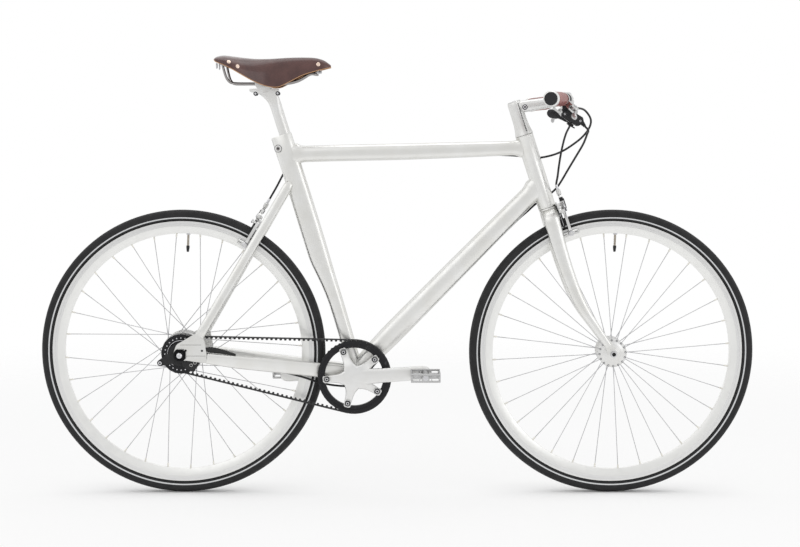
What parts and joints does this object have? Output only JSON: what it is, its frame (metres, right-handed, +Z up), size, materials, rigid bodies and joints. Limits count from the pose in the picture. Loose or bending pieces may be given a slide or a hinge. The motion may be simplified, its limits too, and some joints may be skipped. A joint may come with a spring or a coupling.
{
  "type": "city bike",
  "caption": "City bike with a diamond frame in bare aluminium, belt drive to a geared hub, caliper rim brakes, swept bar and a brown leather saddle.",
  "frame": {"origin": "on the ground, midway between the two axles, in the plane of the wheels", "axes": "+X forwards, +Y to the rider's left, +Z up; the belt is on the -Y side"},
  "size_m": [1.714, 0.5914, 1.0505],
  "materials": {
    "satin_aluminium": "satin, lightly polished",
    "polished_aluminium": "polished",
    "bright_steel": "bright",
    "black_metal": "black, semi-matte",
    "black_plastic": "black, matte",
    "tyre_rubber": "matte dark grey with a pale reflective line",
    "belt_rubber": "matte black",
    "brown_leather": "smooth, dark brown",
    "reddish_leather": "matte, reddish brown"
  },
  "bodies": {
    "frame": {"head_tube": "satin_aluminium", "headset_bearing_lower": "bright_steel", "headset_bearing_upper": "bright_steel", "seat_tube": "satin_aluminium", "seat_clamp_bolt": "bright_steel", "top_tube": "satin_aluminium", "down_tube": "satin_aluminium", "bottom_bracket_shell": "satin_aluminium", "bottom_bracket": "bright_steel", "seat_stay_right": "satin_aluminium", "seat_stay_left": "satin_aluminium", "chain_stay_right": "satin_aluminium", "chain_stay_left": "satin_aluminium", "dropout_right": "satin_aluminium", "dropout_left": "satin_aluminium", "rear_axle": "bright_steel", "axle_washer_right": "black_metal", "axle_washer_left": "black_metal", "brake_bridge": "satin_aluminium", "gear_joint_bracket": "black_plastic", "rear_brake_bolt": "polished_aluminium", "rear_brake_housing": "black_plastic", "gear_housing": "black_plastic", "belt": "belt_rubber"},
    "steering": {"fork": "satin_aluminium", "stem": "polished_aluminium", "handlebar": "polished_aluminium", "grip_right": "reddish_leather", "grip_left": "reddish_leather", "brake_perch_right": "polished_aluminium", "brake_perch_left": "polished_aluminium", "shifter_body": "black_plastic", "front_axle": "bright_steel", "front_brake_bolt": "polished_aluminium", "front_brake_housing": "black_plastic"},
    "front_wheel": {"front_hub": "polished_aluminium", "front_rim": "satin_aluminium", "front_tyre": "tyre_rubber"},
    "rear_wheel": {"rear_hub": "polished_aluminium", "rear_rim": "satin_aluminium", "rear_tyre": "tyre_rubber"},
    "cranks": {"crank_right": "polished_aluminium", "crank_left": "polished_aluminium", "front_sprocket": "black_metal"},
    "sprocket": {"rear_sprocket": "black_metal"},
    "pedal_r": {"pedal_right": "polished_aluminium"},
    "pedal_l": {"pedal_left": "polished_aluminium"},
    "lever_r": {"brake_lever_right": "polished_aluminium"},
    "lever_l": {"brake_lever_left": "polished_aluminium"},
    "shifter_main": {"shifter_main_lever": "black_plastic"},
    "shifter_release": {"shifter_release_lever": "black_plastic"},
    "front_long": {"front_brake_long_arm": "polished_aluminium"},
    "front_short": {"front_brake_short_arm": "polished_aluminium"},
    "rear_long": {"rear_brake_long_arm": "polished_aluminium"},
    "rear_short": {"rear_brake_short_arm": "polished_aluminium"},
    "gear_pulley": {"gear_joint_pulley": "black_plastic"},
    "post": {"seatpost": "polished_aluminium"},
    "saddle": {"saddle_clamp": "polished_aluminium", "saddle_frame": "black_metal", "saddle_cover": "brown_leather"}
  },
  "joints": [
    {"name": "steering_turn", "type": "hinge", "parent": "frame", "child": "steering", "pos_m": [0.35948, 0, 0.68892], "axis": [-0.309, 0, 0.9511], "range_deg": [-60, 60], "deforming": ["rear_brake_housing", "gear_housing"]},
    {"name": "front_wheel_spin", "type": "hinge", "parent": "steering", "child": "front_wheel", "pos_m": [0.515, 0, 0.342], "axis": [0, 1, 0], "continuous": true},
    {"name": "rear_wheel_spin", "type": "hinge", "parent": "frame", "child": "rear_wheel", "pos_m": [-0.515, 0, 0.342], "axis": [0, 1, 0], "continuous": true},
    {"name": "crank_spin", "type": "hinge", "parent": "frame", "child": "cranks", "pos_m": [-0.10315, 0, 0.287], "axis": [0, 1, 0], "continuous": true, "deforming": ["belt"]},
    {"name": "sprocket_spin", "type": "hinge", "parent": "frame", "child": "sprocket", "pos_m": [-0.515, 0, 0.342], "axis": [0, 1, 0], "continuous": true, "deforming": ["belt"]},
    {"name": "pedal_right_spin", "type": "hinge", "parent": "cranks", "child": "pedal_r", "pos_m": [0.06643, -0.118, 0.29886], "axis": [0, 1, 0], "continuous": true},
    {"name": "pedal_left_spin", "type": "hinge", "parent": "cranks", "child": "pedal_l", "pos_m": [-0.27274, 0.118, 0.27514], "axis": [0, 1, 0], "continuous": true},
    {"name": "brake_lever_right_pull", "type": "hinge", "parent": "steering", "child": "lever_r", "pos_m": [0.40412, -0.16253, 0.92088], "axis": [-0.6303, 0.1962, -0.7512], "range_deg": [0, 14], "stiffness_Nm_per_rad": 2, "springref_deg": -8.59},
    {"name": "brake_lever_left_pull", "type": "hinge", "parent": "steering", "child": "lever_l", "pos_m": [0.40412, 0.16253, 0.92088], "axis": [0.6303, 0.1962, 0.7512], "range_deg": [0, 14], "stiffness_Nm_per_rad": 2, "springref_deg": -8.59},
    {"name": "shifter_main_push", "type": "hinge", "parent": "steering", "child": "shifter_main", "pos_m": [0.40213, -0.126, 0.88934], "axis": [-0.5446, 0, -0.8387], "range_deg": [0, 24], "stiffness_Nm_per_rad": 0.2, "springref_deg": -11.46},
    {"name": "shifter_release_push", "type": "hinge", "parent": "steering", "child": "shifter_release", "pos_m": [0.40213, -0.126, 0.88934], "axis": [-0.5446, 0, -0.8387], "range_deg": [0, 10], "stiffness_Nm_per_rad": 0.08, "springref_deg": -11.46},
    {"name": "front_long_arm_close", "type": "hinge", "parent": "steering", "child": "front_long", "pos_m": [0.36531, 0, 0.67294], "axis": [-0.9511, 0, -0.309], "range_deg": [0, 1.5]},
    {"name": "front_short_arm_close", "type": "hinge", "parent": "steering", "child": "front_short", "pos_m": [0.36052, -0.02, 0.68768], "axis": [0.9511, 0, 0.309], "range_deg": [0, 1.2]},
    {"name": "rear_long_arm_close", "type": "hinge", "parent": "frame", "child": "rear_long", "pos_m": [-0.31208, 0, 0.63637], "axis": [0.8625, 0, -0.506], "range_deg": [0, 1.5]},
    {"name": "rear_short_arm_close", "type": "hinge", "parent": "frame", "child": "rear_short", "pos_m": [-0.30424, 0.02, 0.64974], "axis": [-0.8625, 0, 0.506], "range_deg": [0, 1.2]},
    {"name": "gear_pulley_turn", "type": "hinge", "parent": "frame", "child": "gear_pulley", "pos_m": [-0.515, 0, 0.342], "axis": [0, 1, 0], "range_deg": [0, 60]},
    {"name": "seatpost_slide", "type": "slide", "parent": "frame", "child": "post", "axis": [-0.3007, 0, 0.9537], "range_m": [-0.06, 0.05]},
    {"name": "saddle_tilt", "type": "hinge", "parent": "post", "child": "saddle", "pos_m": [-0.317, 0, 0.98353], "axis": [0, 1, 0], "range_deg": [-8, 8]}
  ],
  "couplings": [
    {"joint": "sprocket_spin", "follows": "crank_spin", "ratio": 2.0833},
    {"joint": "front_long_arm_close", "follows": "brake_lever_left_pull", "ratio": 0.10714},
    {"joint": "front_short_arm_close", "follows": "brake_lever_left_pull", "ratio": 0.085714},
    {"joint": "rear_long_arm_close", "follows": "brake_lever_right_pull", "ratio": 0.10714},
    {"joint": "rear_short_arm_close", "follows": "brake_lever_right_pull", "ratio": 0.085714}
  ]
}
